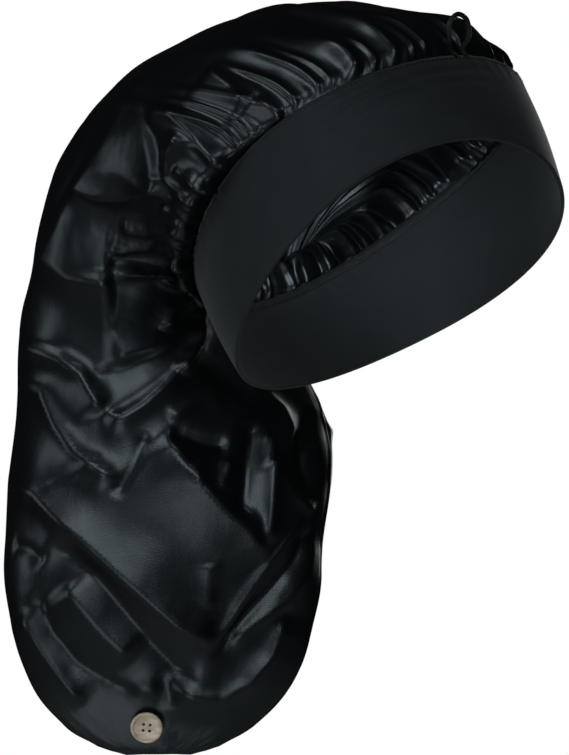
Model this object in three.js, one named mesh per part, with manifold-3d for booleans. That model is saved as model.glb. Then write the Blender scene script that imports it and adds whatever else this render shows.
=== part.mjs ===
// A long satin bonnet for braids: a wide stretch band round the head, a gathered bag that goes over
// the crown and hangs down behind, an elastic loop at the forehead and a button near the bag's tip.
// Millimetres, +Z up. The wearer faces -Y. The origin is the middle of the band's head opening.
import * as THREE from 'three';
import { mergeVertices } from 'three/addons/utils/BufferGeometryUtils.js';
import Module from 'manifold-3d';

const wasm = await Module();
wasm.setup();

// Driving sizes
const openingLength = 183;      // head opening, forehead to nape
const openingWidth = 166;       // head opening, ear to ear
const seamLength = 195;         // gathered seam, forehead to nape
const seamWidth = 176;          // gathered seam, ear to ear
const bandHeight = 60;          // lower edge of the band to the gathered seam
const bandTilt = 40;            // degrees that the forehead stands above the nape
const bandWall = 2.4;           // two layers of knit
const bandBulge = 1.8;          // how far the band's middle stands out
const bagWall = 1.2;            // satin, seam to tip
const bagReach = 100;           // gathered seam's middle to the bag's back, level
const bagDrop = 290;            // gathered seam's middle down to the bag's tip
const bagHalfWidth = 84;        // hanging part, half its width
const crownHalfWidth = 99;      // over the head, half its width
const gatherCount = 22;
const gatherDepth = 3.4;        // height of a gather where it stands highest
const seamPucker = 0.5;         // height of a gather at the seam
const sewnGap = 0.3;            // clearance between pieces that are sewn together
const loopCord = 2.4;           // elastic, across
const loopHeight = 25;
const loopWidth = 12;
const loopFoot = 5.5;           // between the loop's two ends, centre to centre
const loopLean = 13;            // how far the loop's top stands up from the cloth
const loopSlant = 7;            // how far its top leans to the wearer's right
const buttonDiameter = 17;
const buttonThickness = 3.2;
const buttonHole = 1.7;
const buttonHolePitch = 3.4;    // between neighbouring holes
const buttonHoleTurn = 78;      // degrees from the button's own x axis to the first hole
const threadDiameter = 1.1;
const shankLength = 1.0;        // thread between the button and the cloth
const shankDiameter = 5.6;

// How finely the surfaces are cut
const bandStations = 60;
const samplesPerGather = 4;
const cordSides = 8;
const buttonSides = 28;

const degrees = THREE.MathUtils.degToRad;
const full = Math.PI * 2;
const vec = (x, y, z) => new THREE.Vector3(x, y, z);

// The band's directions: side is the wearer's left, front lies in the band's tilted plane, and
// rise leaves that plane towards the bag.
const tilt = degrees(bandTilt);
const side = vec(1, 0, 0);
const front = vec(0, -Math.cos(tilt), Math.sin(tilt));
const rise = vec(0, Math.sin(tilt), Math.cos(tilt));

// The two edges of the band aren't flat ovals. Each has its half sizes, and its other terms are
// shares: egg narrows one end, lean shifts it sideways, and sag, roll and twist bend it out of plane.
const edges = {
  opening: {
    length: openingLength, width: openingWidth, lift: 0,
    egg: -0.079, lean: -0.04, nod: -0.03, roll: -0.096, twist: -0.091, sag: 0,
  },
  seam: {
    length: seamLength, width: seamWidth, lift: bandHeight,
    egg: 0.108, lean: 0.047, nod: -0.057, roll: 0.011, twist: 0.016, sag: -0.025,
  },
};

function edgePoint(edge, angle) {
  const halfLength = edge.length / 2;
  const halfWidth = edge.width / 2;
  const alongFront = halfLength * Math.cos(angle);
  const alongSide = halfWidth * (edge.lean + Math.sin(angle) + edge.egg * Math.sin(2 * angle));
  const bend = edge.nod * Math.cos(angle) + edge.twist * Math.sin(2 * angle) + edge.sag * Math.cos(2 * angle);
  const alongRise = edge.lift + bend * halfLength + edge.roll * halfWidth * Math.sin(angle);
  const level = vec(0, 0, 0).addScaledVector(front, alongFront).addScaledVector(side, alongSide);
  return level.addScaledVector(rise, alongRise);
}

function edgeOutward(edge, angle) {
  const step = 0.01;
  const tangent = edgePoint(edge, angle + step).sub(edgePoint(edge, angle - step));
  return tangent.cross(rise).normalize();
}

// A point of the band: share 0 is the head opening and 1 the gathered seam.
function bandPoint(angle, share, outward) {
  const low = edgePoint(edges.opening, angle);
  const high = edgePoint(edges.seam, angle);
  const out = edgeOutward(edges.opening, angle).lerp(edgeOutward(edges.seam, angle), share).normalize();
  return low.lerp(high, share).addScaledVector(out, outward + bandBulge * Math.sin(Math.PI * share));
}

// Mesh helpers
function meshOf(points, faces) {
  const geometry = new THREE.BufferGeometry();
  const numbers = points.flatMap((p) => [p.x, p.y, p.z]);
  geometry.setAttribute('position', new THREE.Float32BufferAttribute(numbers, 3));
  geometry.setIndex(faces.flat());
  geometry.computeVertexNormals();
  return geometry;
}

// Joins rows of points, each row a closed ring, into a strip of triangles.
function strip(rowA, rowB, count) {
  const faces = [];
  for (let i = 0; i < count; i += 1) {
    const j = (i + 1) % count;
    faces.push([rowA + i, rowA + j, rowB + j], [rowA + i, rowB + j, rowB + i]);
  }
  return faces;
}

function toManifold(geometry) {
  const bare = geometry.clone();
  bare.deleteAttribute('normal');
  bare.deleteAttribute('uv');
  const merged = mergeVertices(bare, 1e-4);
  return new wasm.Manifold(new wasm.Mesh({
    numProp: 3,
    vertProperties: new Float32Array(merged.attributes.position.array),
    triVerts: new Uint32Array(merged.index.array),
  }));
}

function fromManifold(solid) {
  const mesh = solid.getMesh();
  const geometry = new THREE.BufferGeometry();
  geometry.setAttribute('position', new THREE.Float32BufferAttribute(mesh.vertProperties, 3));
  geometry.setIndex(Array.from(mesh.triVerts));
  geometry.computeVertexNormals();
  return geometry;
}

// Head band: one closed profile of two faces and a rounded fold, carried round the head.
function headBand() {
  const half = bandWall / 2;
  const fold = half / bandHeight;
  const faceShares = [0.25, 0.5, 0.75];
  const profile = [
    ...[fold, ...faceShares, 1].map((share) => ({ share, outward: half })),
    ...[1, ...[...faceShares].reverse(), fold].map((share) => ({ share, outward: -half })),
    { share: fold * 0.3, outward: -half * 0.7 },
    { share: fold * 0.3, outward: half * 0.7 },
  ];
  const points = [];
  for (const { share, outward } of profile) {
    for (let i = 0; i < bandStations; i += 1) {
      points.push(bandPoint((i / bandStations) * full, share, outward));
    }
  }
  const faces = profile.flatMap((_, row) => {
    const nextRow = (row + 1) % profile.length;
    return strip(row * bandStations, nextRow * bandStations, bandStations);
  });
  return meshOf(points, faces);
}

// The bag is a bent sock of sections, from the seam to the tip. back is the point of a section that
// comes from the forehead, and nape the point that comes from the nape. Their Y is a share of
// bagReach behind the seam's middle, and their Z a share of bagDrop above it. crown and hang are
// the half width, as shares of crownHalfWidth and bagHalfWidth. turn is how far the section has
// turned its flat side towards the wearer's right, in degrees, and shift moves it sideways, as a
// share of bagHalfWidth.
const sections = [
  {
    along: 0.05, backY: -0.74, backZ: 0.238, napeY: 0.78, napeZ: -0.195,
    crown: 0.94, hang: 0, turn: 0, shift: 0,
  },
  {
    along: 0.13, backY: -0.53, backZ: 0.278, napeY: 0.81, napeZ: -0.168,
    crown: 0.965, hang: 0, turn: 0, shift: 0,
  },
  {
    along: 0.23, backY: -0.03, backZ: 0.321, napeY: 0.85, napeZ: -0.151,
    crown: 0.985, hang: 0, turn: 0, shift: 0,
  },
  {
    along: 0.33, backY: 0.54, backZ: 0.285, napeY: 0.9, napeZ: -0.164,
    crown: 0.75, hang: 0.25, turn: -8, shift: -0.03,
  },
  {
    along: 0.42, backY: 1.05, backZ: 0.165, napeY: 0.914, napeZ: -0.206,
    crown: 0.3, hang: 0.7, turn: -18, shift: -0.06,
  },
  {
    along: 0.5, backY: 1.37, backZ: -0.02, napeY: 0.874, napeZ: -0.275,
    crown: 0, hang: 0.99, turn: -30, shift: -0.07,
  },
  {
    along: 0.58, backY: 1.48, backZ: -0.227, napeY: 0.784, napeZ: -0.358,
    crown: 0, hang: 0.995, turn: -42, shift: -0.05,
  },
  {
    along: 0.67, backY: 1.54, backZ: -0.427, napeY: 0.724, napeZ: -0.479,
    crown: 0, hang: 0.99, turn: -50, shift: -0.07,
  },
  {
    along: 0.76, backY: 1.54, backZ: -0.599, napeY: 0.784, napeZ: -0.613,
    crown: 0, hang: 0.995, turn: -50, shift: -0.1,
  },
  {
    along: 0.85, backY: 1.44, backZ: -0.744, napeY: 0.894, napeZ: -0.751,
    crown: 0, hang: 0.965, turn: -50, shift: -0.12,
  },
  {
    along: 0.92, backY: 1.31, backZ: -0.868, napeY: 1.01, napeZ: -0.871,
    crown: 0, hang: 0.825, turn: -50, shift: -0.13,
  },
  {
    along: 0.965, backY: 1.24, backZ: -0.951, napeY: 1.09, napeZ: -0.951,
    crown: 0, hang: 0.61, turn: -50, shift: -0.14,
  },
  {
    along: 0.99, backY: 1.21, backZ: -0.993, napeY: 1.12, napeZ: -0.993,
    crown: 0, hang: 0.37, turn: -50, shift: -0.15,
  },
  {
    along: 1, backY: 1.19, backZ: -1.008, napeY: 1.14, napeZ: -1.008,
    crown: 0, hang: 0.2, turn: -50, shift: -0.15,
  },
];
const seamMiddle = rise.clone().multiplyScalar(bandHeight * 0.95);

// One section as a ring: its point and its outward direction at an angle, 0 at the forehead's line.
function sectionRing(row) {
  const back = vec(0, seamMiddle.y + row.backY * bagReach, seamMiddle.z + row.backZ * bagDrop);
  const nape = vec(0, seamMiddle.y + row.napeY * bagReach, seamMiddle.z + row.napeZ * bagDrop);
  const centre = back.clone().add(nape).multiplyScalar(0.5).addScaledVector(side, row.shift * bagHalfWidth);
  const depth = back.distanceTo(nape) / 2;
  const width = row.crown * crownHalfWidth + row.hang * bagHalfWidth;
  const straight = back.clone().sub(nape).normalize();
  const turn = degrees(row.turn);
  const depthWay = straight.clone().multiplyScalar(Math.cos(turn)).addScaledVector(side, -Math.sin(turn));
  const widthWay = side.clone().multiplyScalar(Math.cos(turn)).addScaledVector(straight, Math.sin(turn));
  return {
    along: row.along,
    point: (angle) => {
      const across = centre.clone().addScaledVector(depthWay, depth * Math.cos(angle));
      return across.addScaledVector(widthWay, width * Math.sin(angle));
    },
    outward: (angle) => {
      const across = vec(0, 0, 0).addScaledVector(depthWay, Math.cos(angle) / depth);
      return across.addScaledVector(widthWay, Math.sin(angle) / width).normalize();
    },
  };
}

const seamRing = {
  along: 0,
  point: (angle) => bandPoint(angle, 1, 0).addScaledVector(rise, sewnGap),
  outward: (angle) => edgeOutward(edges.seam, angle),
};
const rings = [seamRing, ...sections.map(sectionRing)];

// A smooth curve through the rings at one angle.
function bagBase(angle, along) {
  const last = rings.length - 1;
  let i = 0;
  while (i < last - 1 && along > rings[i + 1].along) i += 1;
  const at = (k) => rings[k].point(angle);
  const slope = (k) => {
    const low = Math.max(0, k - 1);
    const high = Math.min(last, k + 1);
    return at(high).sub(at(low)).divideScalar(rings[high].along - rings[low].along);
  };
  const span = rings[i + 1].along - rings[i].along;
  const u = (along - rings[i].along) / span;
  const point = at(i).multiplyScalar((2 * u - 3) * u * u + 1)
    .addScaledVector(slope(i), ((u - 2) * u + 1) * u * span)
    .addScaledVector(at(i + 1), (3 - 2 * u) * u * u)
    .addScaledVector(slope(i + 1), (u - 1) * u * u * span);
  const outward = rings[i].outward(angle).lerp(rings[i + 1].outward(angle), u).normalize();
  return { point, outward };
}

// Main folds of the cloth, each a soft ridge between two places of the bag. Angles are degrees
// round a section, and width and height are shares of bagHalfWidth.
const folds = [
  { fromAngle: 275, fromAlong: 0.53, toAngle: 205, toAlong: 0.61, width: 0.2, height: 0.05 },
  { fromAngle: 275, fromAlong: 0.61, toAngle: 195, toAlong: 0.7, width: 0.2, height: 0.05 },
  { fromAngle: 255, fromAlong: 0.75, toAngle: 160, toAlong: 0.88, width: 0.2, height: 0.06 },
  { fromAngle: 195, fromAlong: 0.66, toAngle: 140, toAlong: 0.78, width: 0.2, height: 0.05 },
  { fromAngle: 120, fromAlong: 0.76, toAngle: 160, toAlong: 0.87, width: 0.15, height: 0.04 },
  { fromAngle: 20, fromAlong: 0.58, toAngle: 330, toAlong: 0.74, width: 0.22, height: 0.05 },
  { fromAngle: 350, fromAlong: 0.74, toAngle: 40, toAlong: 0.86, width: 0.2, height: 0.05 },
];
const aroundScale = 0.8 * bagHalfWidth;                   // millimetres for each radian round the bag
const alongScale = 1.85 * bagDrop;                        // millimetres from the seam to the tip

function smooth(low, high, value) {
  const u = Math.min(1, Math.max(0, (value - low) / (high - low)));
  return u * u * (3 - 2 * u);
}

function foldHeight(fold, angle, along) {
  const ax = degrees(fold.fromAngle) * aroundScale;
  const ay = fold.fromAlong * alongScale;
  const bx = degrees(fold.toAngle) * aroundScale;
  const by = fold.toAlong * alongScale;
  const turns = [-full, 0, full].map((turn) => {
    const px = (angle + turn) * aroundScale;
    const py = along * alongScale;
    const share = ((px - ax) * (bx - ax) + (py - ay) * (by - ay)) / ((bx - ax) ** 2 + (by - ay) ** 2);
    const held = Math.min(1, Math.max(0, share));
    return Math.hypot(px - ax - held * (bx - ax), py - ay - held * (by - ay));
  });
  const away = Math.min(...turns) / (fold.width * bagHalfWidth);
  return fold.height * bagHalfWidth * Math.exp(-away * away);
}

// How far the cloth stands out from the bag's plain form.
function relief(angle, along) {
  const wave = Math.cos(gatherCount * angle);
  const fade = smooth(0, 0.06, along) * (1 - smooth(0.09, 0.34, along));
  const crowded = 1 - 0.5 * Math.max(0, -Math.cos(angle));
  const gathers = wave * (seamPucker * (1 - smooth(0, 0.06, along)) + 0.5 * gatherDepth * fade * crowded);
  return gathers + folds.reduce((sum, fold) => sum + foldHeight(fold, angle, along), 0);
}

function bagPoint(angle, along, inward) {
  const { point, outward } = bagBase(angle, along);
  return point.addScaledVector(outward, relief(angle, along) - inward);
}

// Satin bag: an outer and an inner skin that share their rows, joined at the mouth and closed at
// the tip, so the bag is open from the band's seam all the way down.
const rowsAlong = [
  0, 0.02, 0.05, 0.09, 0.135, 0.18, 0.23, 0.28, 0.325, 0.37, 0.415, 0.46, 0.505,
  0.55, 0.595, 0.64, 0.685, 0.73, 0.775, 0.82, 0.865, 0.91, 0.945, 0.97, 0.988, 1,
];

function satinBag() {
  const count = gatherCount * samplesPerGather;
  const skin = (alongs, inward) => alongs.map((along) => {
    const row = [];
    for (let i = 0; i < count; i += 1) row.push(bagPoint((i / count) * full, along, inward));
    return row;
  });
  const outer = skin(rowsAlong, -bagWall / 2);
  const inner = skin(rowsAlong.slice(0, -1), bagWall / 2);
  const points = [...outer.flat(), ...inner.flat()];
  const innerStart = outer.length * count;
  const faces = [];
  for (let row = 0; row < outer.length - 1; row += 1) {
    faces.push(...strip(row * count, (row + 1) * count, count));
  }
  for (let row = 0; row < inner.length - 1; row += 1) {
    faces.push(...strip(innerStart + (row + 1) * count, innerStart + row * count, count));
  }
  faces.push(...strip(innerStart, 0, count));
  const middle = (row) => row.reduce((sum, p) => sum.add(p), vec(0, 0, 0)).divideScalar(row.length);
  const close = (row, start, flip) => {
    const centre = points.push(middle(row)) - 1;
    for (let i = 0; i < count; i += 1) {
      const j = (i + 1) % count;
      faces.push(flip ? [start + j, start + i, centre] : [start + i, start + j, centre]);
    }
  };
  close(outer.at(-1), (outer.length - 1) * count, false);
  close(inner.at(-1), innerStart + (inner.length - 1) * count, true);
  return meshOf(points, faces);
}

// Elastic loop at the forehead, sewn into the seam and lying off the outside of the gathers. Its
// places are millimetres across it and up the cloth, and its stand is from the cloth's middle.
const loopAngle = degrees(-9);
const loopFootStand = bandWall / 2 + loopCord / 2 + sewnGap;
const loopTopStand = gatherDepth / 2 + bagWall / 2 + loopCord / 2 + 2 * sewnGap;

function loopPoint(across, up, stand) {
  const radius = seamWidth / 2;
  const slanted = across + loopSlant * up / loopHeight;
  const { point, outward } = bagBase(loopAngle - slanted / radius, up / alongScale);
  return point.addScaledVector(outward, stand);
}

function loopGeometry() {
  const middleStand = (loopFootStand + loopTopStand) / 2;
  const points = [
    loopPoint(-loopFoot / 2, 0, loopFootStand),
    loopPoint(-loopFoot * 0.62, loopHeight * 0.3, middleStand),
    loopPoint(-loopWidth * 0.42, loopHeight * 0.62, loopTopStand + loopLean * 0.45),
    loopPoint(-loopWidth * 0.36, loopHeight * 0.85, loopTopStand + loopLean * 0.85),
    loopPoint(0, loopHeight * 0.92, loopTopStand + loopLean),
    loopPoint(loopWidth * 0.42, loopHeight * 0.82, loopTopStand + loopLean * 0.8),
    loopPoint(loopWidth * 0.45, loopHeight * 0.58, loopTopStand + loopLean * 0.4),
    loopPoint(loopFoot * 0.66, loopHeight * 0.28, middleStand),
    loopPoint(loopFoot / 2, 0, loopFootStand),
  ];
  const circle = new THREE.Shape();
  circle.absarc(0, 0, loopCord / 2, 0, full, false);
  return new THREE.ExtrudeGeometry(circle, {
    extrudePath: new THREE.CatmullRomCurve3(points),
    steps: 24,
    curveSegments: cordSides / 2,
    bevelEnabled: false,
  });
}

// Button: a raised rim round a dished face, four holes, and the thread that holds it.
const buttonAngle = degrees(187);
const buttonAlong = 0.966;
const buttonAxis = new THREE.Group();                     // Z of this group points out of the cloth

// The thread's foot stands clear of the highest cloth below it.
function placeButton() {
  const here = bagPoint(buttonAngle, buttonAlong, -bagWall / 2);
  const angleStep = 0.08;
  const alongStep = 0.008;
  const cloth = (a, b) => bagPoint(buttonAngle + a * angleStep, buttonAlong + b * alongStep, -bagWall / 2);
  const out = cloth(1, 0).sub(cloth(-1, 0)).cross(cloth(0, 1).sub(cloth(0, -1))).normalize();
  let highest = 0;
  for (const a of [-1, 0, 1]) {
    for (const b of [-1, 0, 1]) highest = Math.max(highest, cloth(a, b).sub(here).dot(out));
  }
  buttonAxis.position.copy(here).addScaledVector(out, highest + 2 * sewnGap);
  buttonAxis.quaternion.setFromUnitVectors(vec(0, 0, 1), out);
}

function holeCentres() {
  const reach = buttonHolePitch / Math.SQRT2;
  return [0, 1, 2, 3].map((quarter) => {
    const angle = degrees(buttonHoleTurn + 90 * quarter);
    return [reach * Math.cos(angle), reach * Math.sin(angle)];
  });
}

function cylinderAlongZ(radius, low, high, sides) {
  const geometry = new THREE.CylinderGeometry(radius, radius, high - low, sides);
  geometry.rotateX(Math.PI / 2);
  geometry.translate(0, 0, (low + high) / 2);
  return geometry;
}

function buttonGeometry() {
  const radius = buttonDiameter / 2;
  const base = shankLength;
  const top = base + buttonThickness;
  const profile = [
    [0, base],
    [radius * 0.72, base],
    [radius * 0.95, base + buttonThickness * 0.3],
    [radius, base + buttonThickness * 0.6],
    [radius * 0.97, top - buttonThickness * 0.12],
    [radius * 0.9, top],
    [radius * 0.82, top - buttonThickness * 0.08],
    [radius * 0.76, top - buttonThickness * 0.3],
    [radius * 0.4, top - buttonThickness * 0.36],
    [0, top - buttonThickness * 0.34],
  ].map(([x, y]) => new THREE.Vector2(x, y));
  const lathe = new THREE.LatheGeometry(profile, buttonSides);
  lathe.rotateX(Math.PI / 2);
  let solid = toManifold(lathe);
  for (const [x, y] of holeCentres()) {
    const hole = cylinderAlongZ(buttonHole / 2, 0, top + 1, 10);
    hole.translate(x, y, 0);
    solid = solid.subtract(toManifold(hole));
  }
  return fromManifold(solid);
}

function threadGeometry() {
  const top = shankLength + buttonThickness * 0.45;
  let solid = toManifold(cylinderAlongZ(shankDiameter / 2, 0, shankLength - sewnGap, 16));
  for (const [x, y] of holeCentres()) {
    const strand = cylinderAlongZ(threadDiameter / 2, shankLength / 3, top, 8);
    strand.translate(x, y, 0);
    solid = solid.add(toManifold(strand));
  }
  return fromManifold(solid);
}

// Materials
const knit = new THREE.MeshStandardMaterial({ color: 0x24292b, roughness: 0.85, metalness: 0 });
const satin = new THREE.MeshStandardMaterial({ color: 0x0b0e10, roughness: 0.32, metalness: 0 });
const elastic = new THREE.MeshStandardMaterial({ color: 0x111415, roughness: 0.6, metalness: 0 });
const horn = new THREE.MeshStandardMaterial({ color: 0xb3a487, roughness: 0.35, metalness: 0 });
const thread = new THREE.MeshStandardMaterial({ color: 0x0d0d0d, roughness: 0.7, metalness: 0 });

function piece(name, geometry, material) {
  const mesh = new THREE.Mesh(geometry, material);
  mesh.name = name;
  return mesh;
}

const bonnet = new THREE.Group();
bonnet.add(piece('head_band', headBand(), knit));
bonnet.add(piece('satin_bag', satinBag(), satin));
bonnet.add(piece('button_loop', loopGeometry(), elastic));
placeButton();
buttonAxis.add(piece('button', buttonGeometry(), horn));
buttonAxis.add(piece('button_thread', threadGeometry(), thread));
bonnet.add(buttonAxis);

export default bonnet;
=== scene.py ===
# %% [markdown]
# A long satin bonnet for braids, dressed for the camera. The wide stretch band, the gathered satin
# bag, the elastic loop and the horn button each get their own mesh and their own finish. The solids
# of the part are loaded first, and give every piece its place.

import math

import bmesh
import bpy
import numpy as np
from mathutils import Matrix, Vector


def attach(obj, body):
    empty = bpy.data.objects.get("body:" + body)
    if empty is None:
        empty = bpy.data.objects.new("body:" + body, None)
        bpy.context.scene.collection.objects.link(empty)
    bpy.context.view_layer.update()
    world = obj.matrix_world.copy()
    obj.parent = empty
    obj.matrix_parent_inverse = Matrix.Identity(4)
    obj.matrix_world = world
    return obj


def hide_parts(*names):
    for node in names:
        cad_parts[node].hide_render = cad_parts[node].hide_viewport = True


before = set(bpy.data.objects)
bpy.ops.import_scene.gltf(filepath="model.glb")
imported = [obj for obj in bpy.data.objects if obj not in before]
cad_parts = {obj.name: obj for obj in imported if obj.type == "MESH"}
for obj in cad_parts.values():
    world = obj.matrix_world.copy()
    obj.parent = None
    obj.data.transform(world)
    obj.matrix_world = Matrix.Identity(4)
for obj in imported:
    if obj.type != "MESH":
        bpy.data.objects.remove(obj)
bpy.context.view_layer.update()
print("nodes:", sorted(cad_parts))

# %% [markdown]
# The camera stands level with the bonnet, 1.2 m away, in front of the wearer and to the wearer's
# right, so the opening of the band turns towards the right of the picture and the flat of the bag
# faces us. A long lens keeps the tall shape straight.

# %% Camera
MM = 0.001
picture_right = np.array([math.cos(math.radians(50)), -math.sin(math.radians(50)), 0.0])
picture_depth = np.array([math.sin(math.radians(50)), math.cos(math.radians(50)), 0.0])
camera_distance = 1200.0
camera_shift_right = -59.2
camera_height = -50.75
camera_place = -camera_distance * picture_depth + camera_shift_right * picture_right
camera_place[2] = camera_height
lens_length = 116.8
sensor_width = 36.0

camera_data = bpy.data.cameras.new("camera")
camera_data.lens = lens_length
camera_data.sensor_width = sensor_width
camera = bpy.data.objects.new("camera", camera_data)
bpy.context.scene.collection.objects.link(camera)
camera.location = Vector(camera_place * MM)
camera.rotation_euler = Vector(picture_depth).to_track_quat("-Z", "Y").to_euler()
bpy.context.scene.camera = camera
print("camera at", [round(v, 3) for v in camera.location])

# %% [markdown]
# Black satin shows only what it mirrors. A few large soft lamps in a dim room give it bright folds
# beside near-black ones, where an even white room would turn it flat grey. Two small lamps reach
# into the opening, where the large ones can't.

# %% Lamps
def add_lamp(name, size, power, place, aim):
    data = bpy.data.lights.new(name, "AREA")
    data.shape = "RECTANGLE"
    data.size, data.size_y = size
    data.energy = power
    lamp = bpy.data.objects.new(name, data)
    bpy.context.scene.collection.objects.link(lamp)
    lamp.location = place
    lamp.rotation_euler = (Vector(aim) - Vector(place)).to_track_quat("-Z", "Y").to_euler()
    return lamp


def from_camera(right, up, near):
    """A place named by how far right, up and towards the camera it is from the bonnet's middle."""
    place = picture_right * right - picture_depth * near
    return (place[0] - 0.04, place[1] + 0.08, up - 0.05)


middle = from_camera(0, 0, 0)
# Each lamp: name, width and height in metres, watts, then its place (right, up, near)
large_lamps = [
    ("lamp_key", (0.6, 0.6), 3.6, (-0.35, 0.25, 1.6)),
    ("lamp_front", (0.4, 0.4), 1.7, (0.05, -0.1, 1.5)),
    ("lamp_low", (0.6, 0.6), 1.9, (-0.4, -0.9, 1.2)),
    ("lamp_upper_left", (0.5, 0.5), 3.0, (-0.9, 0.9, 0.8)),
    ("lamp_top", (0.4, 0.4), 1.3, (0.2, 1.0, 0.9)),
    ("lamp_left", (0.4, 0.8), 1.7, (-1.3, -0.15, 0.45)),
    ("lamp_far_side", (0.8, 0.8), 4.0, (0.6, 0.15, -1.4)),
]
for name, size, power, place in large_lamps:
    add_lamp(name, size, power, from_camera(*place), middle)
inner_pleats = from_camera(0.087, 0.08, -0.049)
hollow_lamp = add_lamp("lamp_hollow", (0.05, 0.05), 0.055, from_camera(0, 0.113, 0.006), inner_pleats)
hollow_lamp.visible_camera = False
inner_seam = from_camera(0.087, 0.07, -0.02)
inside_lamp = add_lamp("lamp_inside", (0.1, 0.1), 0.034, from_camera(0.3, -0.31, 0.26), inner_seam)
inside_lamp.data.spread = math.radians(24)
print("lamps:", len(bpy.data.lights))

# %% [markdown]
# A picture of a single thing on white has no horizon. So the world is white to the camera's own rays
# and dim for everything else, and the pale floor is a wide disc, far below.

# %% Floor
floor_sides = 96
floor_radius = 3
floor_drop = 1.3
floor_ring = []
for i in range(floor_sides):
    around = 2 * math.pi * i / floor_sides
    floor_ring.append((floor_radius * math.cos(around), floor_radius * math.sin(around), -floor_drop))
floor_mesh = bpy.data.meshes.new("floor")
floor_mesh.from_pydata(floor_ring, [], [list(range(floor_sides))])
floor = bpy.data.objects.new("floor", floor_mesh)
bpy.context.scene.collection.objects.link(floor)
print("floor", 2 * floor_radius, "m across")

# %% World
world = bpy.data.worlds.new("world")
bpy.context.scene.world = world
world.use_nodes = True
sky = world.node_tree
sky.nodes.clear()
dim = sky.nodes.new("ShaderNodeBackground")
dim.inputs["Color"].default_value = (0.9, 0.95, 1.0, 1)
dim.inputs["Strength"].default_value = 0.008
white = sky.nodes.new("ShaderNodeBackground")
white.inputs["Color"].default_value = (1, 1, 1, 1)
white.inputs["Strength"].default_value = 1.0
ray = sky.nodes.new("ShaderNodeLightPath")
choose = sky.nodes.new("ShaderNodeMixShader")
sky_out = sky.nodes.new("ShaderNodeOutputWorld")
sky.links.new(ray.outputs["Is Camera Ray"], choose.inputs[0])
sky.links.new(dim.outputs[0], choose.inputs[1])
sky.links.new(white.outputs[0], choose.inputs[2])
sky.links.new(choose.outputs[0], sky_out.inputs[0])
bpy.context.scene.view_settings.view_transform = "Standard"
print("world strength", dim.inputs["Strength"].default_value)

# %% [markdown]
# The bonnet is drawn from the same named sizes as the solids. The band is a ring tilted by 40
# degrees. Its lower edge is the head opening, and its upper edge carries the gathers. Neither edge
# is a flat oval, because worn cloth is pulled out of shape. Each edge has a length and a width in
# millimetres, and small shares that bend it: egg makes one end wider, lean shifts it sideways, and
# nod, roll, twist and sag raise or lower parts of it.

# %% Sizes and directions
band_height = 60
opening = dict(
    length=183, width=166, lift=0, egg=-0.079, lean=-0.04,
    nod=-0.03, roll=-0.096, twist=-0.091, sag=0,
)
seam = dict(
    length=195, width=176, lift=band_height, egg=0.108, lean=0.047,
    nod=-0.057, roll=0.011, twist=0.016, sag=-0.025,
)
band_wall = 2.4
band_bulge = 1.8
bag_wall = 1.2
bag_reach = 100
bag_drop = 290
bag_half_width = 84
crown_half_width = 99
sewn_gap = 0.3
turn = 2 * math.pi

tilt = math.radians(40)
side = np.array([1.0, 0.0, 0.0])
front = np.array([0.0, -math.cos(tilt), math.sin(tilt)])
rise = np.array([0.0, math.sin(tilt), math.cos(tilt)])


def unit(v):
    """The same direction with length 1."""
    return v / np.maximum(np.linalg.norm(v, axis=-1, keepdims=True), 1e-9)


def edge_point(edge, angle):
    half_length, half_width = edge["length"] / 2, edge["width"] / 2
    along_front = half_length * np.cos(angle)
    along_side = half_width * (edge["lean"] + np.sin(angle) + edge["egg"] * np.sin(2 * angle))
    bend = edge["nod"] * np.cos(angle) + edge["twist"] * np.sin(2 * angle) + edge["sag"] * np.cos(2 * angle)
    along_rise = edge["lift"] + bend * half_length + edge["roll"] * half_width * np.sin(angle)
    return along_front[..., None] * front + along_side[..., None] * side + along_rise[..., None] * rise


def edge_outward(edge, angle):
    step = 0.01
    return unit(np.cross(edge_point(edge, angle + step) - edge_point(edge, angle - step), rise))


def band_point(angle, share, outward):
    """A point of the band in millimetres: share 0 is the head opening and 1 the gathered seam."""
    share = np.asarray(share, float)[..., None]
    outward = np.asarray(outward, float)[..., None]
    low, high = edge_point(opening, angle), edge_point(seam, angle)
    out = unit(edge_outward(opening, angle) * (1 - share) + edge_outward(seam, angle) * share)
    return low * (1 - share) + high * share + out * (outward + band_bulge * np.sin(np.pi * share))


def smooth(low, high, value):
    """A soft step: 0 up to low and 1 from high."""
    u = np.clip((value - low) / (high - low), 0, 1)
    return u * u * (3 - 2 * u)


print("head opening", opening["length"], "by", opening["width"], "mm")

# %% [markdown]
# The bag is a bent sock of sections, given by a short table. Each section has the point that comes
# from the forehead over the back, the point that comes from the nape, half its width, and how far it
# has turned its flat side to the wearer's right. A smooth curve through the sections gives the plain
# form. Y is a share of the reach and Z of the drop, and half the width is a share of the crown's
# plus a share of the hanging part's.

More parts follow.
